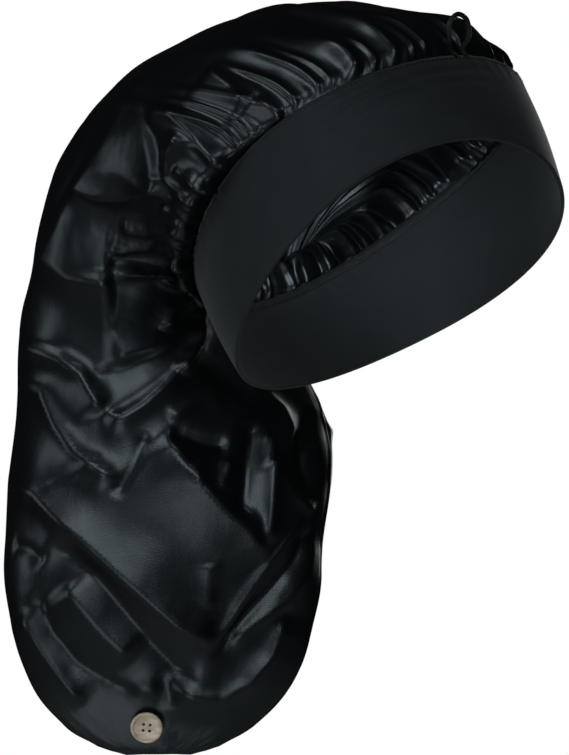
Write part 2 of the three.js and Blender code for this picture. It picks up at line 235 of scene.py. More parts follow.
# %% The bag's plain form
# Each section: along, back Y, back Z, nape Y, nape Z, crown share, hang share, degrees turned, shift
bag_sections = [
    (0.05, -0.74, 0.238, 0.78, -0.195, 0.94, 0, 0, 0),
    (0.13, -0.53, 0.278, 0.81, -0.168, 0.965, 0, 0, 0),
    (0.23, -0.03, 0.321, 0.85, -0.151, 0.985, 0, 0, 0),
    (0.33, 0.54, 0.285, 0.9, -0.164, 0.75, 0.25, -8, -0.03),
    (0.42, 1.05, 0.165, 0.914, -0.206, 0.3, 0.7, -18, -0.06),
    (0.5, 1.37, -0.02, 0.874, -0.275, 0, 0.99, -30, -0.07),
    (0.58, 1.48, -0.227, 0.784, -0.358, 0, 0.995, -42, -0.05),
    (0.67, 1.54, -0.427, 0.724, -0.479, 0, 0.99, -50, -0.07),
    (0.76, 1.54, -0.599, 0.784, -0.613, 0, 0.995, -50, -0.1),
    (0.85, 1.44, -0.744, 0.894, -0.751, 0, 0.965, -50, -0.12),
    (0.92, 1.31, -0.868, 1.01, -0.871, 0, 0.825, -50, -0.13),
    (0.965, 1.24, -0.951, 1.09, -0.951, 0, 0.61, -50, -0.14),
    (0.99, 1.21, -0.993, 1.12, -0.993, 0, 0.37, -50, -0.15),
    (1, 1.19, -1.008, 1.14, -1.008, 0, 0.2, -50, -0.15),
]
seam_middle = rise * band_height * 0.95


def section_ring(row, angle):
    along, back_y, back_z, nape_y, nape_z, crown, hang, turned, shift = row
    back = np.array([0, seam_middle[1] + back_y * bag_reach, seam_middle[2] + back_z * bag_drop])
    nape = np.array([0, seam_middle[1] + nape_y * bag_reach, seam_middle[2] + nape_z * bag_drop])
    centre = (back + nape) / 2 + side * shift * bag_half_width
    depth = np.linalg.norm(back - nape) / 2
    width = crown * crown_half_width + hang * bag_half_width
    straight = unit(back - nape)
    a = math.radians(turned)
    depth_way = straight * math.cos(a) - side * math.sin(a)
    width_way = side * math.cos(a) + straight * math.sin(a)
    return centre + depth * np.cos(angle)[:, None] * depth_way + width * np.sin(angle)[:, None] * width_way


def bag_form(angle, alongs):
    """The plain bag as rows of points: one row for each place along, one column for each angle."""
    rings = [band_point(angle, np.ones_like(angle), np.zeros_like(angle)) + rise * sewn_gap]
    rings += [section_ring(row, angle) for row in bag_sections]
    rings = np.array(rings)
    knots = np.array([0.0] + [row[0] for row in bag_sections])
    last = len(knots) - 1
    slopes = np.empty_like(rings)
    for k in range(last + 1):
        low, high = max(0, k - 1), min(last, k + 1)
        slopes[k] = (rings[high] - rings[low]) / (knots[high] - knots[low])
    rows = []
    for along in alongs:
        i = int(np.clip(np.searchsorted(knots, along, side="left") - 1, 0, last - 1))
        span = knots[i + 1] - knots[i]
        u = (along - knots[i]) / span
        rows.append(
            rings[i] * ((2 * u - 3) * u * u + 1)
            + slopes[i] * ((u - 2) * u + 1) * u * span
            + rings[i + 1] * (3 - 2 * u) * u * u
            + slopes[i + 1] * (u - 1) * u * u * span
        )
    return np.array(rows)


def grid_normals(points):
    """Outward directions of a grid whose columns close into rings."""
    around = np.roll(points, -1, axis=1) - np.roll(points, 1, axis=1)
    down = np.gradient(points, axis=0)
    return unit(np.cross(around, down))


print("bag sections:", len(bag_sections) + 1)

# %% [markdown]
# Gathers are what makes this bag. A long edge is pulled onto a short band, so the cloth stands up
# in pleats that are narrow at the seam, swell over the next centimetres, join in pairs and run out.
# Four waves share one phase, each half as fine as the one before, so their tops meet as pleats do.
# Smooth seeded wandering of that phase, height and reach makes the row look sewn and not stamped.
# Behind the right ear the cloth is crowded: its fine pleats run on, and the coarse ones make room
# for folds that are drawn.

# %% Gathers
gather_pairs = 24
gather_seed = 11
crowded_place = math.radians(238)
crowded_spread = math.radians(26)
crowded_sink = 3.0
seam_sink = 1.1
# Each coarse wave: height in mm, fineness, where it swells and where it runs out, in mm down the cloth
coarse_waves = [
    (2.9, 2, (0, 9), (22, 56)),
    (2.4, 1, (6, 28), (34, 84)),
    (1.8, 0.5, (24, 56), (60, 125)),
]


def wander(rng, angle, counts, size):
    """A smooth random value round the seam: a few sine waves with whole counts."""
    total = np.zeros_like(angle)
    for count in counts:
        total += rng.normal() * np.sin(count * angle + rng.uniform(0, turn))
    return size * total / math.sqrt(len(counts))


def pleat(phase, skew=0.55):
    """One pleat from 0 to 1: a rounded top, one steep side and a narrow valley."""
    return (0.5 + 0.5 * np.cos(phase + skew * np.sin(phase))) ** 1.25


def gathers(angle, down):
    """Height of the gathers in millimetres, from angles and millimetres down the cloth."""
    rng = np.random.default_rng(gather_seed)
    crowding = 2.6 * np.sin(angle + math.radians(38)) + 1.1 * np.sin(2 * angle + 1)
    drift = wander(rng, angle, range(2, 9), 0.012) * down
    phase = gather_pairs * angle + crowding + wander(rng, angle, range(9, 31), 0.9) + drift
    strong = [np.clip(0.8 + wander(rng, angle, range(8, 40), 0.35), 0.15, 1.5) for _ in range(4)]
    reach = np.clip(1 + wander(rng, angle, range(5, 24), 0.32), 0.4, 1.7)
    reach *= 1 - 0.45 * smooth(0.1, 0.9, -np.cos(angle))
    reach *= 1 + 0.9 * smooth(0.3, 0.9, np.sin(angle))
    run = down / reach
    crowded = np.exp(-(((angle - crowded_place) / crowded_spread) ** 2))
    fine_run = run / (1 + 1.6 * crowded)
    fine = (0.55 + 0.9 * crowded) * strong[0]
    height = fine * pleat(4 * phase) * smooth(-0.2, 2, run) * (1 - smooth(3, 14, fine_run))
    room = 1 - 0.75 * crowded
    for share, (tall, fineness, swells, ends) in zip(strong[1:], coarse_waves):
        wave = room * tall * share * pleat(fineness * phase)
        height += wave * smooth(*swells, run) * (1 - smooth(*ends, run))
    height -= crowded_sink * crowded * smooth(4, 26, down) * (1 - smooth(45, 120, down))
    return height - seam_sink * smooth(0, 12, down) * (1 - smooth(60, 150, down))


print("pleats at the seam:", 2 * gather_pairs)

# %% [markdown]
# The hanging part was pressed flat in the hand and let go, so it keeps long soft folds. They are
# given as lines on the side that faces the camera: millimetres to the right of the origin and above
# it. A fold has a height, and a width on each side of its line, so it can drop steeply on one side
# and roll off softly on the other. A negative height is a crease.

# %% Folds of the camera's side
# Each fold: height, width on its left, width on its right, then the points of its line (right, up)
front_folds = [
    (5.0, 4, 9, [(-196, -33), (-182, -37), (-172, -41), (-163, -48), (-156, -60), (-150, -70)]),
    (5.2, 9, 4, [(-106, -20), (-107, -30), (-111, -42), (-120, -54), (-131, -64), (-142, -71), (-154, -70)]),
    (4.2, 5, 8, [(-199, -51), (-184, -58), (-176, -74), (-166, -88), (-156, -96), (-142, -104)]),
    (1.0, 1.6, 1.6, [(-184, -110), (-166, -100), (-150, -89)]),
    (7.0, 15, 7.5, [
        (-208, -102), (-186, -112), (-170, -127), (-146, -149),
        (-126, -167), (-112, -179), (-99, -186), (-86, -184),
    ]),
    (-5.0, 8, 11, [(-182, -134), (-156, -154), (-136, -180), (-117, -201), (-102, -211)]),
    (4.0, 10, 14, [(-174, -156), (-155, -180), (-137, -197)]),
    (4.0, 6, 8, [(-120, -208), (-106, -217), (-92, -218), (-78, -210), (-66, -196), (-57, -172)]),
    (5.6, 5.5, 15, [(-121, -76), (-110, -94), (-94, -112), (-78, -128), (-68, -146)]),
    (-1.8, 2.5, 3.5, [(-129, -79), (-136, -96), (-146, -112)]),
    (3.4, 4, 3, [(-68, -74), (-66, -90), (-66, -106), (-68, -138)]),
    (-4.0, 5, 5, [(-75, -72), (-78, -92), (-79, -106), (-82, -124)]),
    (2.4, 3, 3, [(-86, -92), (-88, -99), (-91, -108)]),
    (2.2, 3, 3, [(-100, -90), (-103, -96), (-102, -104)]),
    (3.0, 4, 4, [(-72, -56), (-60, -68), (-55, -78), (-61, -93)]),
    (3.2, 3, 7, [(-67, -91), (-54, -109), (-44, -122)]),
    (-4.0, 5, 5, [(-45, -66), (-50, -80), (-50, -94), (-45, -110)]),
    (2.8, 2.2, 3, [(-46, -119), (-66, -145), (-82, -169), (-96, -194)]),
    (-3.0, 3, 2.5, [(-46, -127), (-54, -145), (-68, -163), (-86, -183), (-98, -196)]),
    (2.6, 5, 6, [(-43, -133), (-48, -153), (-58, -168), (-78, -181), (-90, -190)]),
    (-3.4, 4, 5, [(-118, -79), (-102, -84), (-87, -86)]),
    (2.0, 4, 4, [(-118, -72), (-106, -64), (-92, -58)]),
    (3.0, 5, 6, [(-197, -172), (-186, -192), (-174, -208), (-164, -222)]),
    (-3.0, 6, 7, [(-189, -160), (-180, -184), (-168, -200), (-150, -210), (-132, -216)]),
    (-2.0, 4, 4, [(-202, -138), (-192, -140), (-184, -147)]),
    (1.5, 6, 6, [(-98, -145), (-97, -158), (-99, -170)]),
    (1.6, 5, 5, [(-150, -206), (-138, -212), (-124, -214)]),
    (-1.6, 4, 4, [(-126, -206), (-120, -212), (-117, -222)]),
    (6.5, 4, 10, [(-126, 72), (-118, 75), (-110, 73), (-102, 66), (-92, 55), (-85, 48)]),
    (7.5, 26, 5.5, [(-166, 48), (-153, 40), (-140, 37), (-127, 39), (-114, 42)]),
    (6.0, 13, 5, [(-104, 66), (-113, 57), (-115, 46), (-109, 38), (-99, 31)]),
    (3.4, 3, 3, [(-120, 33), (-112, 25), (-102, 18)]),
    (2.4, 2.5, 2.5, [(-110, 50), (-102, 43), (-94, 38)]),
    (2.4, 2.5, 2.5, [(-112, 35), (-104, 29), (-96, 24)]),
    (5.0, 3.2, 2.8, [(-144, 23), (-128, 20), (-115, 21), (-103, 16), (-95, 13)]),
    (5.0, 3.2, 2.8, [(-149, 13), (-130, 15), (-114, 16), (-103, 10), (-95, 8)]),
    (4.8, 3.0, 2.8, [(-149, 5), (-132, 4), (-119, 5), (-103, 4), (-95, 3)]),
    (4.0, 2.6, 2.6, [(-125, 0), (-112, -3), (-103, -2), (-95, -2)]),
    (6.5, 24, 26, [(-186, 13), (-166, 2), (-144, 1)]),
    (5.0, 30, 12, [(-150, 8), (-149, -6), (-147, -22), (-139, -46)]),
    (5.5, 3.4, 3.4, [(-122, -28), (-119, -16), (-112, -11), (-102, -9), (-95, -8)]),
    (4.6, 2.8, 3.2, [(-114, -50), (-106, -36), (-104, -23), (-103, -14)]),
    (4.0, 5, 12, [(-96, 96), (-84, 86), (-75, 77)]),
]


def line_distance(right, up, line):
    """Signed distance to a line of points, and how far along the line the nearest place is."""
    line = np.array(line, float)
    lengths = np.linalg.norm(np.diff(line, axis=0), axis=1)
    starts = np.concatenate([[0], np.cumsum(lengths)])
    best = np.full(right.shape, 1e9)
    signed = np.zeros(right.shape)
    place = np.zeros(right.shape)
    for i, (a, b) in enumerate(zip(line[:-1], line[1:])):
        d = b - a
        share = np.clip(((right - a[0]) * d[0] + (up - a[1]) * d[1]) / (d @ d), 0, 1)
        x, y = right - a[0] - share * d[0], up - a[1] - share * d[1]
        away = np.hypot(x, y)
        nearer = away < best
        best = np.where(nearer, away, best)
        signed = np.where(nearer, np.sign(d[0] * y - d[1] * x) * away, signed)
        place = np.where(nearer, (starts[i] + share * lengths[i]) / starts[-1], place)
    return signed, place


def folds(right, up, table):
    """Height of all the folds of a table: a pointed crest with soft flanks and a fine round top."""
    top_share = 0.08
    top_width = 3.0
    height = np.zeros(right.shape)
    for tall, left_width, right_width, line in table:
        signed, place = line_distance(right, up, line)
        width = np.where(signed > 0, left_width, right_width)
        ends = smooth(0, 0.14, place) * (1 - smooth(0.86, 1, place))
        flanks = np.exp(-((np.abs(signed) / width) ** 1.25))
        top = np.exp(-((signed / top_width) ** 2))
        height += tall * ends * ((1 - top_share) * flanks + top_share * top)
    return height


print("folds of the camera's side:", len(front_folds))

# %% [markdown]
# The side that faces away has folds of the same kind, in the same places right and up. Over the
# gathers and the drawn folds lie smaller waves that nobody places by hand. Summing a few sine waves
# with bent paths gives slow, smooth cloth, where plain noise would look like clay.

# %% The far side and the slow waves
far_folds = [
    (5.5, 14, 5, [(-20, -60), (-50, -90), (-90, -120), (-130, -150)]),
    (4.5, 5, 12, [(-180, -60), (-150, -80), (-120, -110), (-100, -150)]),
    (4.5, 12, 5, [(-60, -120), (-80, -160), (-110, -200)]),
    (4.5, 5, 12, [(-190, -120), (-160, -160), (-130, -200)]),
    (3.5, 8, 5, [(-60, -10), (-80, -30), (-110, -44)]),
    (4.0, 12, 6, [(-150, 30), (-120, -4), (-100, -50)]),
    (3.4, 5, 9, [(-190, 20), (-170, -10), (-140, -30)]),
    (3.0, 3, 4, [(-70, -70), (-84, -100), (-88, -128)]),
    (2.6, 3, 3, [(-120, -66), (-134, -92), (-156, -110)]),
    (3.0, 4, 3, [(-150, -130), (-124, -140), (-100, -136)]),
    (2.6, 4, 6, [(-170, -196), (-140, -214), (-100, -216), (-76, -196)]),
    (2.4, 3, 3, [(-118, 16), (-104, 2), (-98, -20)]),
    (2.8, 3, 3, [(-128, 36), (-110, 20), (-98, 4)]),
]


slow_seed = 5
slow_count = 14
slow_height = 0.42
slow_shortest, slow_longest = 28, 80


def slow_waves(points, along):
    """Height of the slow waves in millimetres. They fade out towards the seam."""
    rng = np.random.default_rng(slow_seed)
    total = np.zeros(points.shape[:2])
    for i in range(slow_count):
        way = unit(rng.normal(size=3) * np.array([1, 1, 0.5]))
        bend = unit(rng.normal(size=3))
        length = rng.uniform(slow_shortest, slow_longest)
        phase = rng.uniform(0, turn)
        path = points @ way + 9 * np.sin(points @ bend / 31 + phase)
        total += length / slow_longest * np.sin(turn * path / length + phase)
    return slow_height * total * smooth(0.03, 0.2, along)


print("folds of the far side:", len(far_folds))


# %% [markdown]
# Every piece of cloth here is a stack of closed rings. The crown needs many columns for its pleats,
# and the hanging part needs many rows for its slanting folds, so a ring may have half the columns of
# the ring before it. Triangles join the two. A UV map in metres carries the weave along.

# %% Stacks of rings
def join_rings(first, first_count, second, second_count):
    """Faces between two rings, given each ring's first vertex and its number of vertices."""
    small = min(first_count, second_count)
    c = np.arange(small)
    a, a_next = first + c, first + (c + 1) % small
    b, b_next = second + c, second + (c + 1) % small
    if first_count == second_count:
        return np.stack([a, a_next, b_next, b], -1).tolist()
    if first_count > second_count:
        a, a_middle, a_next = first + 2 * c, first + 2 * c + 1, first + (2 * c + 2) % first_count
        corners = [(a, a_middle, b), (a_middle, b_next, b), (a_middle, a_next, b_next)]
    else:
        b, b_middle, b_next = second + 2 * c, second + 2 * c + 1, second + (2 * c + 2) % second_count
        corners = [(a, b_middle, b), (a, a_next, b_middle), (a_next, b_next, b_middle)]
    return np.concatenate([np.stack(corner, -1) for corner in corners]).tolist()


def lay_cloth_map(mesh, faces, shares, along, girth):
    """A UV map in metres round the rings and along them, with no jump where a ring closes."""
    corners = np.zeros(len(mesh.loops), np.int64)
    mesh.loops.foreach_get("vertex_index", corners)
    sizes = np.array([len(face) for face in faces])
    firsts = np.concatenate([[0], np.cumsum(sizes)[:-1]])
    share = shares[corners]
    spread = np.maximum.reduceat(share, firsts) - np.minimum.reduceat(share, firsts)
    share = np.where(np.repeat(spread > 0.5, sizes) & (share < 0.5), share + 1, share)
    uv = np.stack([share * girth, along[corners]], -1) * MM
    mesh.uv_layers.new(name="cloth").data.foreach_set("uv", uv.reshape(-1))


def ring_stack(name, rings, start_closed=False, end_closed=False, around_again=False):
    """A mesh from rings of points in millimetres, with a UV map in metres round and along."""
    counts = [len(ring) for ring in rings]
    starts = np.concatenate([[0], np.cumsum(counts)]).astype(int)
    points = np.concatenate(rings)
    shares = np.concatenate([np.arange(count) / count for count in counts])
    steps = [np.linalg.norm(b[len(b) // 4] - a[len(a) // 4]) for a, b in zip(rings[:-1], rings[1:])]
    along = np.repeat(np.concatenate([[0], np.cumsum(steps)]), counts)
    faces = []
    for i in range(len(rings) - 1):
        faces += join_rings(starts[i], counts[i], starts[i + 1], counts[i + 1])
    if around_again:
        faces += join_rings(starts[len(rings) - 1], counts[-1], 0, counts[0])
    for closed, ring, flip in ((start_closed, 0, True), (end_closed, len(rings) - 1, False)):
        if closed:
            end = len(points)
            points = np.vstack([points, rings[ring].mean(0)])
            shares = np.append(shares, 0)
            along = np.append(along, along[starts[ring]])
            c = np.arange(counts[ring])
            a, b = starts[ring] + c, starts[ring] + (c + 1) % counts[ring]
            fan = [b, a, np.full_like(a, end)] if flip else [a, b, np.full_like(a, end)]
            faces += np.stack(fan, -1).tolist()
    mesh = bpy.data.meshes.new(name)
    mesh.from_pydata((points * MM).tolist(), [], faces)
    girth = np.linalg.norm(rings[0] - np.roll(rings[0], 1, axis=0), axis=1).sum()
    lay_cloth_map(mesh, faces, shares, along, girth)
    mesh.polygons.foreach_set("use_smooth", [True] * len(mesh.polygons))
    mesh.update()
    piece = bpy.data.objects.new(name, mesh)
    bpy.context.scene.collection.objects.link(piece)
    return piece


# %% [markdown]
# All folds are heights over the plain form, pushed out along its own directions. Rows stand close
# together where pleats and slanting folds are steep. The drawn folds fade out where the cloth turns
# away from the camera. The two halves of the bag are sewn together along the outline, where a flat
# lap leaves a thin line.

# %% Relief of the satin
bag_columns = 480
crown_alongs = np.concatenate([np.linspace(0, 0.06, 12, endpoint=False), np.linspace(0.06, 0.24, 27)])
pouch_alongs = np.concatenate([np.linspace(0.24, 0.96, 165)[1:], np.linspace(0.96, 1, 16)[1:]])
bag_alongs = np.concatenate([crown_alongs, pouch_alongs])
crown_rows = len(crown_alongs)
bag_angles = np.arange(bag_columns) / bag_columns * turn
plain = bag_form(bag_angles, bag_alongs)
outward = grid_normals(plain)
angle_grid, along_grid = np.meshgrid(bag_angles, bag_alongs)
right = plain @ picture_right
up = plain[..., 2]
facing = -(outward @ picture_depth)
steps_down = np.linalg.norm(np.diff(plain, axis=0), axis=2)
down_grid = np.concatenate([np.zeros((1, bag_columns)), np.cumsum(steps_down, axis=0)])
relief = gathers(angle_grid, down_grid)
relief += folds(right, up, front_folds) * smooth(0.05, 0.45, facing) * smooth(0.003, 0.035, along_grid)
relief += folds(right, up, far_folds) * smooth(0.05, 0.45, -facing) * smooth(0.2, 0.35, along_grid)
relief += slow_waves(plain, along_grid)
relief *= 1 - 0.7 * smooth(0.97, 1, along_grid)
lap_radius, lap_place, lap_width, lap_height = 20, 4.2, 1.0, 0.8
from_outline = lap_radius * np.arcsin(np.clip(np.abs(facing), 0, 1))
lap = lap_height * np.exp(-(((from_outline - lap_place) / lap_width) ** 2))
relief += lap * smooth(0.45, 0.6, along_grid)
print("relief", relief.min().round(1), "to", relief.max().round(1), "mm")

# %% [markdown]
# The bag is one sheet, so it gets an outer and an inner layer of rings that meet at the seam. The
# inner layer follows every pleat where the opening shows it, and makes it stand out more, because
# little light gets there. Deep in the hanging part it is coarser and lies further in.

# %% Satin bag
sheet_wall = 0.35
outer = plain + outward * relief[..., None]
inner_wall = sheet_wall + 2.2 * smooth(0.26, 0.4, along_grid)
inner_wall += 0.9 * np.maximum(4.5 - relief, 0) * smooth(0, 9, down_grid) * (1 - smooth(0.2, 0.3, along_grid))
inner = outer - outward * inner_wall[..., None]
outer_rings = list(outer[:crown_rows]) + [ring[::2] for ring in outer[crown_rows:]]
inner_rings = list(inner[:crown_rows]) + [ring[::2] for ring in inner[crown_rows::5]]
outer_cloth = ring_stack("satin_outer", outer_rings, end_closed=True)
inner_cloth = ring_stack("satin_inner", inner_rings[::-1], start_closed=True)
rim_cloth = ring_stack("satin_rim", [inner_rings[0], outer_rings[0]])


def merge(name, pieces):
    """One mesh from several that share an edge, with the doubled points of that edge joined."""
    whole = bmesh.new()
    for piece in pieces:
        whole.from_mesh(piece.data)
        bpy.data.objects.remove(piece)
    bmesh.ops.remove_doubles(whole, verts=whole.verts, dist=0.00001)
    mesh = bpy.data.meshes.new(name)
    whole.to_mesh(mesh)
    whole.free()
    made = bpy.data.objects.new(name, mesh)
    bpy.context.scene.collection.objects.link(made)
    return made


satin_bag = merge("satin_bag_cloth", [outer_cloth, inner_cloth, rim_cloth])
bag_area = sum(face.area for face in satin_bag.data.polygons) / 2
print("satin bag:", len(satin_bag.data.polygons), "faces,", round(bag_area, 3), "square metres")

# %% [markdown]
# The band is two layers of stretch knit folded at the lower edge, so that edge is round and full.
# A worn band isn't perfectly smooth: it has short pulls under the gathers, and a few long creases
# side by side near the forehead. They are added to its faces as low waves.

# %% Head band
band_columns = 400
band_angles = np.arange(band_columns) / band_columns * turn
fold_radius = band_wall / 2
fold_top = 0.03
fold_depth = 0.02
inner_echo = 0.8
face_shares = np.linspace(fold_top, 1, 26)
fold_turns = np.linspace(math.pi / 2, -math.pi / 2, 9)[1:-1]
profile = [(share, fold_radius) for share in face_shares[::-1]]
profile += [(fold_top - fold_depth * math.cos(t), fold_radius * math.sin(t)) for t in fold_turns]
profile += [(share, -fold_radius) for share in face_shares]
pull_count = 64
crease_middle = math.radians(-38)
# Each crease: height in mm, its place up the band and its width, as shares of the band's height
band_creases = [
    (1.3, 0.86, 0.035),
    (-1.1, 0.79, 0.03),
    (1.0, 0.72, 0.035),
    (-0.8, 0.65, 0.035),
    (0.6, 0.58, 0.04),
]


def band_waves(angle, share):
    """Height of the band's waves, pulls and creases in millimetres."""
    rng = np.random.default_rng(3)
    total = np.zeros(np.broadcast(angle, share).shape)
    for i in range(16):
        round_count = rng.integers(2, 9)
        phase = rng.uniform(0, turn)
        total += np.sin(round_count * angle + phase + rng.uniform(-3, 3) * share) / round_count
    total *= 0.28
    pulls = np.zeros_like(total)
    for i in range(pull_count):
        place = (i + rng.uniform(-0.35, 0.35)) / pull_count * turn
        away = (angle - place - rng.normal(0, 0.03) * (1 - share) + math.pi) % turn - math.pi
        pulls += rng.uniform(0.1, 0.5) * np.exp(-((away / 0.022) ** 2)) * smooth(0.72, 1, share)
    crease_place = (angle - crease_middle + math.pi) % turn - math.pi
    creases = np.zeros_like(total)
    for height, at, width in band_creases:
        path = at + 0.05 * crease_place
        creases += height * np.exp(-(((share - path) / width) ** 2))
    creases *= np.exp(-((crease_place / 0.42) ** 2))
    return total + pulls + creases


band_rows = []
for share, outer in profile:
    shares = np.full(band_columns, share)
    wave = band_waves(band_angles, shares)
    band_rows.append(band_point(band_angles, shares, outer + wave * (1 if outer > 0 else inner_echo)))
head_band = ring_stack("head_band_knit", band_rows, around_again=True)
print("head band:", len(head_band.data.polygons), "faces")

# %% [markdown]
# The elastic loop is a short round cord with both ends sewn into the seam. A tube is swept along a
# smooth path through a few points, and its surface is braided in the material.

# %% Elastic loop
def smooth_path(points, count):
    """A smooth open curve through the points, evenly sampled in its parameter."""
    points = np.array(points, float)
    padded = np.vstack([2 * points[0] - points[1], points, 2 * points[-1] - points[-2]])
    samples = []
    for t in np.linspace(0, len(points) - 1, count):
        i = min(int(t), len(points) - 2)
        u = t - i
        a, b, c, d = padded[i : i + 4]
        square = 2 * a - 5 * b + 4 * c - d
        cube = 3 * b - a - 3 * c + d
        samples.append(0.5 * (2 * b + (c - a) * u + square * u**2 + cube * u**3))
    return np.array(samples)


def tube(name, path, radius, sides=16):
    """A closed tube along a path in millimetres."""
    tangents = unit(np.gradient(path, axis=0))
    normal = unit(np.cross(tangents[0], rise + 0.3 * side))
    rows = []
    for point, tangent in zip(path, tangents):
        normal = unit(normal - tangent * (normal @ tangent))
        other = np.cross(tangent, normal)
        a = np.arange(sides) / sides * turn
        rows.append(point + radius * (np.cos(a)[:, None] * normal + np.sin(a)[:, None] * other))
    return ring_stack(name, rows, start_closed=True, end_closed=True)


def bag_at(angle, along):
    """A point of the plain bag and the direction off it."""
    near = bag_form(np.array([angle - 0.01, angle, angle + 0.01]), [along, along + 0.002])
    n = unit(np.cross(near[0, 2] - near[0, 0], near[1, 1] - near[0, 1]))
    return near[0, 1], n


loop_angle = math.radians(-9)
loop_cord, loop_height, loop_width, loop_foot = 2.4, 25, 12, 5.5
loop_lean = 13   # how far its top stands off the cloth
loop_slant = 7   # how far its top leans to the wearer's right
gather_depth = 3.4
cloth_length = 1.85 * bag_drop
foot_stand = band_wall / 2 + loop_cord / 2 + sewn_gap
top_stand = gather_depth / 2 + bag_wall / 2 + loop_cord / 2 + 2 * sewn_gap


def loop_place(across, up, stand):
    """A place of the loop: millimetres across it, up the cloth and off the cloth."""
    slanted = across + loop_slant * up / loop_height
    point, out = bag_at(loop_angle - slanted / (seam["width"] / 2), up / cloth_length)
    return point + out * stand


half_stand = (foot_stand + top_stand) / 2
loop_line = smooth_path([
    loop_place(-loop_foot / 2, 0, foot_stand),
    loop_place(-loop_foot * 0.62, loop_height * 0.3, half_stand),
    loop_place(-loop_width * 0.42, loop_height * 0.62, top_stand + loop_lean * 0.45),
    loop_place(-loop_width * 0.36, loop_height * 0.85, top_stand + loop_lean * 0.85),
    loop_place(0, loop_height * 0.92, top_stand + loop_lean),
    loop_place(loop_width * 0.42, loop_height * 0.82, top_stand + loop_lean * 0.8),
    loop_place(loop_width * 0.45, loop_height * 0.58, top_stand + loop_lean * 0.4),
    loop_place(loop_foot * 0.66, loop_height * 0.28, half_stand),
    loop_place(loop_foot / 2, 0, foot_stand),
], 90)
button_loop = tube("button_loop_elastic", loop_line, loop_cord / 2)
print("loop length", round(float(np.linalg.norm(np.diff(loop_line, axis=0), axis=1).sum()), 1), "mm")

# %% [markdown]
# The materials of cloth read its own UV map, which is in metres, so a weave or a wrinkle has its
# real size on every piece. Horn and thread read the place in the object instead.

# %% Material helpers
def new_material(name):
    material = bpy.data.materials.new(name)
    material.use_nodes = True
    tree = material.node_tree
    return material, tree, tree.nodes["Principled BSDF"]


def node(tree, kind, **values):
    made = tree.nodes.new(kind)
    for key, value in values.items():
        if key in made.inputs:
            made.inputs[key].default_value = value
        else:
            setattr(made, key, value)
    return made


def join(tree, *pairs):
    for a, b in pairs:
        tree.links.new(a, b)


def set_inputs(made, values):
    for key, value in values.items():
        made.inputs[key].default_value = value


def two_tones(tree, first, second, start=0.0, end=1.0):
    """A colour ramp from one colour to another, between two values."""
    ramp = node(tree, "ShaderNodeValToRGB")
    for element, position, colour in zip(ramp.color_ramp.elements, (start, end), (first, second)):
        element.position = position
        element.color = (*colour, 1)
    return ramp


# %% [markdown]
# Satin is smooth along its long floating threads, so its gloss is stretched one way. Large dents,
# finer wrinkles and the threads are three bumps on top of each other, too low to be worth a mesh.

# %% Satin
satin, tree, shader = new_material("black_satin")
cool_gloss = (0.74, 0.92, 1.0, 1)
set_inputs(shader, {
    "Base Color": (0.0035, 0.0042, 0.0050, 1),
    "Roughness": 0.36,
    "Specular IOR Level": 0.6,
    "Specular Tint": cool_gloss,
    "Anisotropic": 0.25,
})
cloth = node(tree, "ShaderNodeUVMap", uv_map="cloth")
grain_way = node(tree, "ShaderNodeTangent", direction_type="UV_MAP", uv_map="cloth")
wrinkle_map = node(tree, "ShaderNodeMapping", Scale=(60, 34, 1))
wrinkles = node(tree, "ShaderNodeTexNoise", Scale=1.0, Detail=3.0, Roughness=0.5)
dents = node(tree, "ShaderNodeTexNoise", Scale=34.0, Detail=2.0, Roughness=0.45)
thread_map = node(tree, "ShaderNodeMapping", Scale=(700, 1500, 1))
threads = node(tree, "ShaderNodeTexNoise", Scale=1.0, Detail=2.0)
bump_dents = node(tree, "ShaderNodeBump", Strength=0.25, Distance=0.003)
bump_wrinkles = node(tree, "ShaderNodeBump", Strength=0.22, Distance=0.001)
bump_threads = node(tree, "ShaderNodeBump", Strength=0.35, Distance=0.0002)
rough = node(tree, "ShaderNodeMapRange", **{"To Min": 0.26, "To Max": 0.36})
join(
    tree,
    (cloth.outputs["UV"], wrinkle_map.inputs["Vector"]),
    (cloth.outputs["UV"], thread_map.inputs["Vector"]),
    (cloth.outputs["UV"], dents.inputs["Vector"]),
    (wrinkle_map.outputs["Vector"], wrinkles.inputs["Vector"]),
    (thread_map.outputs["Vector"], threads.inputs["Vector"]),
    (dents.outputs["Fac"], bump_dents.inputs["Height"]),
    (wrinkles.outputs["Fac"], bump_wrinkles.inputs["Height"]),
    (threads.outputs["Fac"], bump_threads.inputs["Height"]),
    (bump_dents.outputs["Normal"], bump_wrinkles.inputs["Normal"]),
    (bump_wrinkles.outputs["Normal"], bump_threads.inputs["Normal"]),
    (bump_threads.outputs["Normal"], shader.inputs["Normal"]),
    (grain_way.outputs["Tangent"], shader.inputs["Tangent"]),
    (threads.outputs["Fac"], rough.inputs["Value"]),
    (rough.outputs["Result"], shader.inputs["Roughness"]),
)
satin_bag.data.materials.append(satin)

# %% [markdown]
# The knit is matt, with tiny ribs, a faint mottle and a little fuzz that catches light at the edges.

